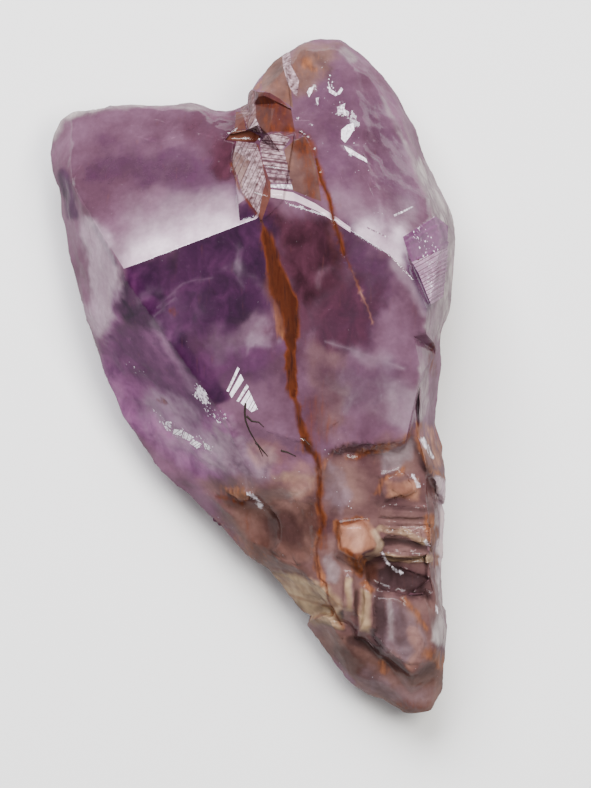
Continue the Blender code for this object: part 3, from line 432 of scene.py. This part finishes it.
    ("rust", 0.4, [(256, 92), (270, 94), (285, 105), (295, 133), (264, 135), (256, 119)],
     0, 1.0, 0.6),
    ("ochre", 0.8, [(430, 518), (432, 540)], 1.0, 1.2, 0.4),
    ("ochre", 0.7, [(432, 547), (435, 563)], 0.6, 1.0, 0.3),
    ("ochre", 0.7, [(430, 652), (441, 662)], 1.5, 2.0, 0.6),
    ("ochre", 0.65, [(426, 628), (420, 616), (404, 598)], 0.3, 1.0, 0.3),
    ("ochre", 0.7, [(381, 664), (384, 669)], 0.8, 1.2, 0.4),
    ("rust", 0.35, [(403, 708), (425, 712), (442, 704)], 1.0, 2.5, 0.5),
    ("rust", 0.45, [(432, 345), (433, 375)], 0.8, 1.0, 0.3),
    ("ochre", 0.7, [(306, 63), (312, 69)], 0.8, 1.2, 0.4),
    ("dusk", 0.4, [(318, 55), (325, 68), (332, 84)], 0.5, 1.6, 0.8),
    ("frost", 0.45, [(318, 55), (325, 68), (332, 84)], 0.8, 1.4, 0.6),
    ("rust", 0.3, [(247, 515), (252, 545), (260, 562)], 0.6, 1.4, 0.4),
]


def smoothstep(low, high, value):
    """0 at low, 1 at high, and a smooth climb between."""
    share = np.clip((value - low) / (high - low), 0, 1)
    return share * share * (3 - 2 * share)


def away_from(places, points, closed=False):
    """Distance in mm from each place to a line through pixels of the photo."""
    corners = np.array([spot(*point) for point in points])
    ends = np.roll(corners, -1, axis=0)
    if not closed:
        corners, ends = corners[:-1], ends[:-1]
    nearest = np.full(len(places), 1e9)
    for start, end in zip(corners, ends):
        run = end - start
        share = np.clip((places - start) @ run / (run @ run), 0, 1)
        nearest = np.minimum(nearest, np.linalg.norm(places - start - share[:, None] * run, axis=1))
    return nearest / MM


def inside(places, points):
    """Whether each place lies in an outline of pixels."""
    corners = np.array([spot(*point) for point in points])
    within = np.zeros(len(places), bool)
    for start, end in zip(corners, np.roll(corners, -1, axis=0)):
        spans = (start[1] > places[:, 1]) != (end[1] > places[:, 1])
        rise = end[1] - start[1] or 1e-12
        cross = start[0] + (places[:, 1] - start[1]) * (end[0] - start[0]) / rise
        within ^= spans & (places[:, 0] < cross)
    return within


def area(places, points, soft):
    """1 inside an outline of pixels and 0 outside, with a soft edge in mm."""
    signed = np.where(inside(places, points), 1, -1) * away_from(places, points, closed=True)
    return smoothstep(-soft, soft, signed)


def cut(mesh, faces, place, side):
    """Cut faces by an upright plane, and give back the faces that they become."""
    parts = dict.fromkeys(faces)
    for face in faces:
        parts.update(dict.fromkeys([*face.edges, *face.verts]))
    made = bmesh.ops.bisect_plane(
        mesh, geom=list(parts), dist=0.03 * MM, plane_co=place, plane_no=side)
    return [item for item in made["geom"] if isinstance(item, bmesh.types.BMFace)]


def score(mesh, points):
    """Cut the upper faces along a line through pixels of the photo."""
    corners = [Vector((*spot(*point), 0)) for point in points]
    lowest = [min(corner[axis] for corner in corners) - COARSE for axis in (0, 1)]
    highest = [max(corner[axis] for corner in corners) + COARSE for axis in (0, 1)]
    pool = []
    for face in mesh.faces:
        middle = face.calc_center_median()
        near = lowest[0] < middle.x < highest[0] and lowest[1] < middle.y < highest[1]
        if near and face.normal.z > UPPER_FACE:
            pool.append(face)
    for start, end in zip(corners, corners[1:]):
        length = (end - start).length
        along = (end - start) / length
        side = Vector((along.y, -along.x, 0))
        crossed, rest = [], []
        for face in pool:
            offset = face.calc_center_median() - start
            beside = abs(offset.dot(side)) < COARSE
            near = beside and -0.3 * COARSE < offset.dot(along) < length + 0.3 * COARSE
            (crossed if near else rest).append(face)
        pool = rest + (cut(mesh, crossed, start, side) if crossed else [])


def steps(outline, angle, spacing, depth, seed):
    """Uneven growth steps across a facet: where each rises and falls, and its height there, in mm."""
    turn = math.radians(angle + 90)
    heading = Vector((math.cos(turn), math.sin(turn), 0))
    reach = [Vector((*spot(*point), 0)).dot(heading) / MM for point in outline]
    draw = random.Random(seed)
    at, height = [min(reach) - 1.0], [0.0]
    while at[-1] < max(reach):
        top = at[-1] + spacing * draw.uniform(0.5, 1.3)
        at += [top, top + DROP * spacing]
        height += [depth * draw.uniform(0.4, 1.3), 0.0]
    return heading, at, height


# The solid's flat faces, cut along the lines and facets and then split finely. The growth steps are
# drawn as coarse as the render can show: on the stone they run down to a few hundredths of a mm.
surface = bmesh.new()
surface.from_mesh(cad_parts["amethyst"].data)
bmesh.ops.remove_doubles(surface, verts=surface.verts[:], dist=0.01 * MM)
bmesh.ops.dissolve_limit(
    surface, angle_limit=math.radians(0.6), verts=surface.verts[:], edges=surface.edges[:])
crystal = surface.faces.layers.int.new("crystal")
facet = surface.faces.layers.int.new("facet")
for face in surface.faces:
    face[crystal] = int(face.calc_area() > CRYSTAL_FACE)
bmesh.ops.triangulate(surface, faces=surface.faces[:])


def split_to(mesh, wanted):
    """Halve edges until none is longer than wanted says."""
    for _ in range(10):
        long_edges = []
        for edge in mesh.edges:
            ends = edge.verts
            if edge.calc_length() > wanted((ends[0].co + ends[1].co) / 2):
                long_edges.append(edge)
        if not long_edges:
            break
        bmesh.ops.subdivide_edges(mesh, edges=long_edges, cuts=1)
        bmesh.ops.triangulate(mesh, faces=[face for face in mesh.faces if len(face.verts) > 3])


def coarse_edge(middle):
    """The longest edge before the lines are cut."""
    return COARSE


def wanted_edge(middle):
    """The longest edge that the mesh may have here, in metres: coarse under the stone."""
    if middle.z < UNDER:
        return UNDER_EDGE * MM
    length = FRONT_EDGE
    for centre, radius, fine in FINE_SPOTS:
        x, y = spot(*centre)
        if math.hypot(middle.x - x, middle.y - y) < radius * PIXEL:
            length = min(length, fine)
    return length * MM


split_to(surface, coarse_edge)
for kind, strength, points, half, soft in LINES:
    score(surface, points)
for number, (name, outline, shades, angle, spacing, depth) in enumerate(FACETS, 1):
    score(surface, outline + outline[:1])
    middles = np.array([face.calc_center_median()[:] for face in surface.faces])
    within = inside(middles[:, :2], outline)
    chosen = []
    for face, is_within in zip(surface.faces, within):
        if is_within and face.normal.z > UPPER_FACE:
            face[facet] = number
            chosen.append(face)
    if spacing:
        heading, at, height = steps(outline, angle, spacing, depth, number)
        for place in at:
            chosen = cut(surface, chosen, heading * (place * MM), heading)
bmesh.ops.dissolve_degenerate(surface, edges=surface.edges[:], dist=0.02 * MM)
bmesh.ops.triangulate(surface, faces=[face for face in surface.faces if len(face.verts) > 3])
split_to(surface, wanted_edge)

broken = [vert for vert in surface.verts
          if not any(face[crystal] or face[facet] for face in vert.link_faces)]
for _ in range(4):
    bmesh.ops.smooth_vert(
        surface, verts=broken, factor=0.5, use_axis_x=True, use_axis_y=True, use_axis_z=True)
surface.normal_update()


def lumps(points, size, seed):
    """Smooth noise with bumps of the given size in mm, from -1 to 1."""
    shift = Vector((seed * 17.3, seed * 5.1, seed * 9.7))
    return np.array([noise.noise(point / (size * MM) + shift) for point in points])


def shells(points, where_rough, size, seed):
    """Shallow cups with sharp rims between them, as quartz breaks, from 0 in a cup to 1 on a rim."""
    shift = Vector((seed * 13.7, seed * 7.9, seed * 3.3))
    cups = np.zeros(len(points))
    for index in np.flatnonzero(where_rough):
        place = points[index] / (size * MM) + shift
        place += 0.35 * noise.noise_vector(place * 0.8)
        cups[index] = min(noise.voronoi(place)[0][0] ** 2, 1.2)
    return cups


# The noise takes its offsets from the clock unless they are set, and the stone is the same each time.
noise.seed_set(NOISE_SEED)
points = [vert.co.copy() for vert in surface.verts]
places = np.array([(point.x, point.y) for point in points])
heights = np.array([point.z for point in points])
outward = np.array([vert.normal for vert in surface.verts])
rough = np.array([float(not any(face[crystal] for face in vert.link_faces)) for vert in surface.verts])
upper = smoothstep(4.0, 12.0, heights / MM) * smoothstep(-0.3, 0.2, outward[:, 2])

# Relief in mm: cups of two sizes where the quartz broke, hardly any on the natural faces, a groove
# along each vein and steps on the striated facets. The patch that the stone lies on stays flat.
relief = rough * (0.50 * shells(points, rough, 6.5, 1) + 0.12 * shells(points, rough, 2.4, 2) - 0.28)
relief += rough * 0.07 * lumps(points, 1.2, 2)
relief += (1 - rough) * 0.03 * lumps(points, 7.0, 5)
facet_of = np.zeros(len(points), int)
for index, vert in enumerate(surface.verts):
    numbers = {face[facet] for face in vert.link_faces}
    facet_of[index] = numbers.pop() if len(numbers) == 1 else -1
relief[facet_of != 0] *= FINE_CALM
for number, (name, outline, shades, angle, spacing, depth) in enumerate(FACETS, 1):
    relief[facet_of == number] += shades.get("lift", 0.0)
    if spacing:
        heading, at, height = steps(outline, angle, spacing, depth, number)
        across = places @ np.array(heading[:2]) / MM
        relief += np.where(facet_of == number, np.interp(across, at, height), 0)
for kind, strength, points_px, half, soft in LINES:
    if kind == "rust":
        relief -= VEIN_GROOVE * upper * (1 - smoothstep(half, 0.5, away_from(places, points_px)))
relief = np.where(heights < 0.05 * MM, 0.0, relief)
for vert, normal, move in zip(surface.verts, outward, relief):
    vert.co += Vector(normal) * (move * MM)
    vert.co.z = max(vert.co.z, 0.0)

stone_mesh = bpy.data.meshes.new("amethyst_surface")
surface.to_mesh(stone_mesh)
tree_of_faces = BVHTree.FromBMesh(surface)
surface.free()
stone_mesh.shade_smooth()
stone_mesh.set_sharp_from_angle(angle=math.radians(STEP_TILT))
stone = bpy.data.objects.new("amethyst_surface", stone_mesh)
bpy.context.scene.collection.objects.link(stone)

# The markings become one number per face corner for each kind, so that they can stop at an edge.
FACET_SHADES = ("violet", "deep", "plum", "smoke", "lilac", "dusk", "rim", "pink", "milk", "cream",
                "ochre", "umber", "silver_and_sheen", "glint", "dull")
KINDS = (*FACET_SHADES, "frost", "rust", "line")
wander = np.column_stack([lumps(points, 4.5, seed) + 0.5 * lumps(points, 1.5, seed) for seed in (7, 8)])
corner_points = np.empty(len(stone_mesh.loops), int)
stone_mesh.loops.foreach_get("vertex_index", corner_points)
leaning = np.empty(len(stone_mesh.polygons) * 3)
stone_mesh.polygons.foreach_get("normal", leaning)
to_tips = np.repeat(leaning.reshape(-1, 3)[:, 1] > 0, 3)
reached = {"tips": to_tips, "front": ~to_tips}
marks = {kind: np.zeros(len(corner_points)) for kind in KINDS}
for kind, strength, points_px, width, soft, sway, *side in CLOUDS:
    moved = places + wander * (WANDER * sway * MM)
    if width:
        weight = 1 - smoothstep(width / 2, width / 2 + soft, away_from(moved, points_px))
    else:
        weight = area(moved, points_px, soft)
    held = reached[side[0]] if side else 1.0
    marks[kind] = 1 - (1 - marks[kind]) * (1 - strength * weight[corner_points] * held)

facet_numbers = np.empty(len(stone_mesh.polygons), int)
stone_mesh.attributes["facet"].data.foreach_get("value", facet_numbers)
middles = np.empty(len(stone_mesh.polygons) * 3)
stone_mesh.polygons.foreach_get("center", middles)
middles = middles.reshape(-1, 3)[:, :2]
for number, (name, outline, shades, angle, spacing, depth) in enumerate(FACETS, 1):
    chosen = facet_numbers == number
    corners_chosen = np.repeat(chosen, 3)
    if set(shades) & set(FACET_SHADES):
        for kind in FACET_SHADES:
            marks[kind][corners_chosen] = shades.get(kind, 0.0)
    if spacing:
        heading, at, height = steps(outline, angle, spacing, depth, number)
        drop = np.searchsorted(at, middles @ np.array(heading[:2]) / MM) % 2 == 0
        marks["line"][np.repeat(chosen & drop, 3)] = shades.get("line", 1.0)
for kind, strength, points_px, half, soft in LINES:
    closeness = np.clip(1 - (away_from(places, points_px) - half) / soft, 0, 1)
    marks[kind] = np.maximum(marks[kind], strength * closeness[corner_points])

# The marks of the upper faces end on the sides, and soft clouds of the same kinds go on there:
# kind, size in mm, how much of the noise they fill (from, to) and how strong they are.
SIDE_CLOUDS = [
    ("milk", 11.0, 0.0, 0.45, 0.4), ("smoke", 14.0, -0.1, 0.4, 0.6), ("deep", 10.0, 0.05, 0.45, 0.5),
    ("rim", 8.0, 0.1, 0.5, 0.4), ("rust", 12.0, 0.25, 0.6, 0.45)]
# How much of each kind stays on the sides. A kind that isn't named keeps a quarter.
STAYS = {"dull": 1.0, "violet": 1.0, "smoke": 0.8, "lilac": 0.6, "frost": 0.0, "glint": 0.0,
         "silver_and_sheen": 0.0, "line": 0.0}
upright = np.repeat(leaning.reshape(-1, 3)[:, 2], 3)
facing = smoothstep(0.0, 0.3, upright)
for kind in KINDS:
    stays = STAYS.get(kind, 0.25)
    marks[kind] *= stays + (1 - stays) * facing
for number, (kind, size, low, high, strength) in enumerate(SIDE_CLOUDS):
    cloud = strength * smoothstep(low, high, lumps(points, size, 31 + number))
    cloud = cloud[corner_points] * (1 - facing)
    marks[kind] = np.maximum(marks[kind], cloud)
marks["dull"] = np.maximum(marks["dull"], 1 - smoothstep(0.5, 0.78, upright))
# Sparse painted sparkles on the broken faces that look up, for small breaks catching the light.
marks["frost"] = np.maximum(marks["frost"], 0.36 * rough[corner_points] * facing)
for kind, values in marks.items():
    attribute = stone_mesh.attributes.new(kind, "FLOAT", "CORNER")
    attribute.data.foreach_set("value", values.astype(np.float32))


def hex_color(code):
    """An sRGB hex code as linear red, green, blue and alpha."""
    shares = [int(code[index:index + 2], 16) / 255 for index in (1, 3, 5)]
    linear = [share / 12.92 if share < 0.04045 else ((share + 0.055) / 1.055) ** 2.4 for share in shares]
    return linear + [1]


def node(tree, kind, links=(), out=0, **settings):
    """Add a node with its settings and the sockets that feed it, and give back one output."""
    made = tree.nodes.new(kind)
    for name, value in settings.items():
        setattr(made, name, value)
    for socket, source in dict(links).items():
        if isinstance(source, bpy.types.NodeSocket):
            tree.links.new(source, made.inputs[socket])
        else:
            made.inputs[socket].default_value = source
    return made.outputs[out]


# Natural amethyst quartz, never cut or polished. Its grown faces and fresh breaks are like glass, so
# the eye gets crisp highlights over a violet depth that is clear in places and milky in others. The
# worn root is duller, and rust from hematite lies along the cracks as an opaque film.
quartz = bpy.data.materials.new("amethyst_quartz_grown_and_broken")
quartz.use_nodes = True
tree = quartz.node_tree
shader = tree.nodes["Principled BSDF"]
output = tree.nodes["Material Output"]
where = node(tree, "ShaderNodeTexCoord", out="Object")
drawn_out = node(tree, "ShaderNodeMapping", {"Vector": where, "Scale": (1.0, 0.7, 0.8)})
clouds = node(tree, "ShaderNodeTexNoise", {"Vector": where, "Scale": 1 / (9 * MM), "Detail": 4.0})
wisps = node(tree, "ShaderNodeTexNoise", {
    "Vector": drawn_out, "Scale": 1 / (3.6 * MM), "Detail": 3.0, "Distortion": 0.6})
haze = node(tree, "ShaderNodeTexNoise", {"Vector": drawn_out, "Scale": 1 / (3.5 * MM), "Detail": 2.0})
along = node(tree, "ShaderNodeMapping", {"Vector": where, "Scale": (1.0, 0.16, 0.5)})
streaks = node(tree, "ShaderNodeTexNoise", {"Vector": along, "Scale": 1 / (0.9 * MM), "Detail": 3.0})
grains = node(tree, "ShaderNodeTexNoise", {"Vector": where, "Scale": 1 / (0.9 * MM), "Detail": 4.0})
specks = node(tree, "ShaderNodeTexNoise", {"Vector": drawn_out, "Scale": 1 / (0.5 * MM), "Detail": 2.0})

# Each shade over the clear mauve: its mark, the cloud that breaks it, how far that sways it, the
# mark where it starts and where it is full, how cloudy it is, and its dull and bright colours.
SHADES = [
    ("violet", wisps, 0.3, 0.0, 1.0, 0.4, "#5A2E54", "#8C587F"),
    ("deep", wisps, 0.5, 0.0, 1.0, 0.0, "#200822", "#451F40"),
    ("plum", wisps, 0.5, 0.0, 1.0, 0.0, "#290A16", "#4E2636"),
    ("smoke", clouds, 0.5, 0.1, 0.9, 0.4, "#3A231E", "#73554F"),
    ("lilac", wisps, 0.3, 0.1, 0.9, 0.4, "#57464E", "#8A747F"),
    # Dark grey-brown: the root's own dark streaks and bands, and painted shade in the hollow, under the
    # steps and along the tip.
    ("dusk", wisps, 0.4, 0.0, 0.9, 0.2, "#1C100F", "#3C2A2C"),
    # Pale grey rims: the quartz's own grey, and a painted glow where thin edges let light through.
    ("rim", wisps, 0.3, 0.1, 0.9, 0.5, "#74666A", "#A39896"),
    ("pink", wisps, 0.4, 0.1, 0.8, 0.7, "#7F4F38", "#AE7C64"),
    ("milk", haze, 0.1, 0.0, 1.0, 0.9, "#BAA0B0", "#D8C2CF"),
    ("cream", haze, 0.3, 0.1, 0.9, 0.9, "#70563F", "#AC9270"),
    ("ochre", streaks, 0.9, 0.1, 1.0, 0.8, "#4A2818", "#84533A"),
    ("umber", wisps, 0.2, 0.0, 1.0, 0.5, "#36150C", "#5A352A"),
    # The striated facets' own pale silvery colour, with a painted sheen for the light that they mirror.
    ("silver_and_sheen", grains, 0.5, 0.05, 0.95, 0.8, "#382224", "#AA8F95"),
    # Painted sparkles: white specks that stand for small broken facets catching the light.
    ("frost", specks, 1.0, 0.62, 0.74, 0.9, "#B0A0B0", "#E4DAE3"),
    # Painted highlights: near-white where small facets catch the light.
    ("glint", specks, 0.8, 0.15, 0.75, 1.0, "#C9BCC6", "#F0E8EE"),
    ("rust", streaks, 0.6, 0.05, 0.8, 0.9, "#2E110A", "#5E2C13"),
    ("rust", streaks, 0.9, 0.72, 1.05, 0.9, "#1F0A05", "#3A1508"),
    ("line", grains, 0.2, 0.3, 0.9, 0.6, "#3A2428", "#4E343C"),
]
shade = node(tree, "ShaderNodeMix", {
    0: node(tree, "ShaderNodeMapRange", {"Value": clouds, "From Min": 0.35, "From Max": 0.65}),
    6: hex_color("#553646"), 7: hex_color("#714F63")}, out=2, data_type="RGBA")
clear = 1.0
for mark, texture, sway, start, full, cloudy, dull, bright in SHADES:
    amount = node(tree, "ShaderNodeMath", {
        0: texture, 1: sway, 2: node(tree, "ShaderNodeAttribute", out="Fac", attribute_name=mark)},
        operation="MULTIPLY_ADD")
    amount = node(tree, "ShaderNodeMapRange", {
        "Value": amount, "From Min": start + 0.5 * sway, "From Max": full + 0.5 * sway},
        interpolation_type="SMOOTHSTEP")
    tone = node(tree, "ShaderNodeMix", {
        0: node(tree, "ShaderNodeMapRange", {"Value": texture, "From Min": 0.3, "From Max": 0.7}),
        6: hex_color(dull), 7: hex_color(bright)}, out=2, data_type="RGBA")
    shade = node(tree, "ShaderNodeMix", {0: amount, 6: shade, 7: tone}, out=2, data_type="RGBA")
    kept = node(tree, "ShaderNodeMath", {0: amount, 1: -cloudy, 2: 1.0}, operation="MULTIPLY_ADD")
    clear = node(tree, "ShaderNodeMath", {0: clear, 1: kept}, operation="MULTIPLY")
mottled = node(tree, "ShaderNodeMapRange", {
    "Value": grains, "From Min": 0.3, "From Max": 0.7, "To Min": 0.93, "To Max": 1.07})
shade = node(tree, "ShaderNodeVectorMath", {0: shade, "Scale": mottled}, operation="SCALE")
tree.links.new(shade, shader.inputs["Base Color"])
broken_edge = node(tree, "ShaderNodeAttribute", out="Fac", attribute_name="dull")
window = node(tree, "ShaderNodeMapRange", {"Value": broken_edge, "To Min": 0.3, "To Max": 0.03})
tree.links.new(
    node(tree, "ShaderNodeMath", {0: clear, 1: window}, operation="MULTIPLY"),
    shader.inputs["Transmission Weight"])
shader.inputs["IOR"].default_value = 1.544
shader.inputs["Roughness"].default_value = 0.14
shader.inputs["Specular IOR Level"].default_value = 0.0
tree.links.new(
    node(tree, "ShaderNodeMapRange", {"Value": broken_edge, "To Min": 0.65, "To Max": 0.12}),
    shader.inputs["Coat Weight"])
shader.inputs["Coat Roughness"].default_value = 0.08
shader.inputs["Coat IOR"].default_value = 1.544
uneven = node(tree, "ShaderNodeBump", {
    "Strength": 0.25, "Distance": 0.1 * MM,
    "Height": node(tree, "ShaderNodeTexNoise", {"Vector": where, "Scale": 1 / (0.7 * MM), "Detail": 3.0})})
tree.links.new(uneven, shader.inputs["Normal"])
tree.links.new(uneven, shader.inputs["Coat Normal"])
# Light that passes through turns violet within about a centimetre.
absorb = node(tree, "ShaderNodeVolumeAbsorption", {"Color": hex_color("#9A5CB0"), "Density": 55.0})
tree.links.new(absorb, output.inputs["Volume"])
stone_mesh.materials.clear()
stone_mesh.materials.append(quartz)

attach(stone, "root")
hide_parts("amethyst")

# The fibres. A few dark olive hairs, thin as a thread, lie half sunk in the stone where it broke.
# They are dry plant fibre, bent, and the longest one forks and ends in a point.
FIBRE_RADIUS = 0.24 * MM
FIBRE_TIP = 0.75              # how much thinner a fibre is at its end
FIBRE_SIDES = 6
SKY = 0.2                     # a height over the whole stone, from which the fibres are let down on it
FIBRES = [
    [(246, 403), (245, 412), (246, 421), (250, 431), (254, 438), (259, 447), (263, 456)],
    [(256, 442), (262, 449), (268, 456)],
    [(247, 416), (252, 421), (259, 422), (264, 427)],
    [(281, 450), (288, 452), (296, 456)]]
strands = bmesh.new()
for points_px in FIBRES:
    path = []
    for start, end in zip(points_px, points_px[1:]):
        for share in (0.0, 0.34, 0.67):
            path.append((start[0] + (end[0] - start[0]) * share, start[1] + (end[1] - start[1]) * share))
    path.append(points_px[-1])
    ring = bmesh.ops.create_circle(
        strands, cap_ends=True, segments=FIBRE_SIDES, radius=1.0,
        matrix=Matrix.Rotation(math.pi / FIBRE_SIDES, 4, "Z"))["verts"]
    place_before = Matrix.Identity(4)
    for index, point in enumerate(path):
        x, y = spot(*point)
        hit = tree_of_faces.ray_cast(Vector((x, y, SKY)), Vector((0, 0, -1)))[0]
        thickness = FIBRE_RADIUS * (1 - FIBRE_TIP * index / len(path))
        before, after = spot(*path[max(index - 1, 0)]), spot(*path[min(index + 1, len(path) - 1)])
        across = Vector((after[1] - before[1], before[0] - after[0], 0)).normalized()
        up = Vector((0, 0, 1))
        place = Matrix((across, up, across.cross(up))).transposed().to_4x4() * thickness
        place.translation = (x, y, hit.z)
        place[3][3] = 1.0
        if index:
            end = [face for face in ring[0].link_faces if set(face.verts) == set(ring)]
            grown = bmesh.ops.extrude_face_region(strands, geom=end)["geom"]
            ring = [item for item in grown if isinstance(item, bmesh.types.BMVert)]
        if index > 1:
            bmesh.ops.delete(strands, geom=end, context="FACES_ONLY")
        bmesh.ops.transform(strands, matrix=place @ place_before.inverted(), verts=ring)
        place_before = place
bmesh.ops.recalc_face_normals(strands, faces=strands.faces[:])
fibre_mesh = bpy.data.meshes.new("olive_fibres")
strands.to_mesh(fibre_mesh)
strands.free()
fibre_mesh.shade_smooth()
fibres = bpy.data.objects.new("olive_fibres", fibre_mesh)
bpy.context.scene.collection.objects.link(fibres)
# Plant fibre, dried and never finished: dark olive brown and dull, so that it hardly catches light.
thread = bpy.data.materials.new("plant_fibre_dried")
thread.use_nodes = True
thread_look = thread.node_tree.nodes["Principled BSDF"]
thread_tone = node(thread.node_tree, "ShaderNodeTexNoise", {
    "Vector": node(thread.node_tree, "ShaderNodeTexCoord", out="Object"), "Scale": 1 / (0.8 * MM)})
thread.node_tree.links.new(
    node(thread.node_tree, "ShaderNodeMix", {
        0: thread_tone, 6: hex_color("#0C0602"), 7: hex_color("#241708")}, out=2, data_type="RGBA"),
    thread_look.inputs["Base Color"])
thread_look.inputs["Roughness"].default_value = 0.7
thread_look.inputs["Specular IOR Level"].default_value = 0.3
fibre_mesh.materials.append(thread)
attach(fibres, "root")

# Floor and light: a plain pale ground, a window-like softbox beyond the crystals' tops, a wide
# soft light overhead and a pale room around.
floor_mesh = bmesh.new()
bmesh.ops.create_grid(floor_mesh, x_segments=1, y_segments=1, size=3.0)
bmesh.ops.translate(floor_mesh, verts=floor_mesh.verts[:], vec=(0, 0, -0.05 * MM))
floor_data = bpy.data.meshes.new("floor")
floor_mesh.to_mesh(floor_data)
floor_mesh.free()
floor = bpy.data.objects.new("floor", floor_data)
bpy.context.scene.collection.objects.link(floor)
# White paper, uncoated: matte, so that it shows the stone's soft shadow and no glare.
paper = bpy.data.materials.new("matte_white_paper")
paper.use_nodes = True
sheet = paper.node_tree.nodes["Principled BSDF"]
sheet.inputs["Base Color"].default_value = hex_color("#F4F3F1")
sheet.inputs["Roughness"].default_value = 0.9
floor_data.materials.append(paper)

# Lamps: name, place and size in metres, power in watts and colour. Each looks at the stone.
LIGHTS = [
    ("window", (-0.15, 0.55, 0.85), 0.6, 25.0, "#F8F9FF"),
    ("overhead", (0.3, 0.12, 1.1), 0.4, 14.0, "#FFFDF8"),
]
for name, place, size, power, tone in LIGHTS:
    light = bpy.data.lights.new(name, "AREA")
    light.size = size
    light.energy = power
    light.color = hex_color(tone)[:3]
    lamp = bpy.data.objects.new(name, light)
    lamp.location = place
    lamp.rotation_euler = (-Vector(place)).to_track_quat("-Z", "Y").to_euler()
    lamp.visible_camera = False
    bpy.context.scene.collection.objects.link(lamp)

room = bpy.data.worlds.new("pale_room")
room.use_nodes = True
backdrop = room.node_tree.nodes["Background"]
backdrop.inputs["Color"].default_value = hex_color("#EDEFF2")
backdrop.inputs["Strength"].default_value = 0.35
bpy.context.scene.world = room
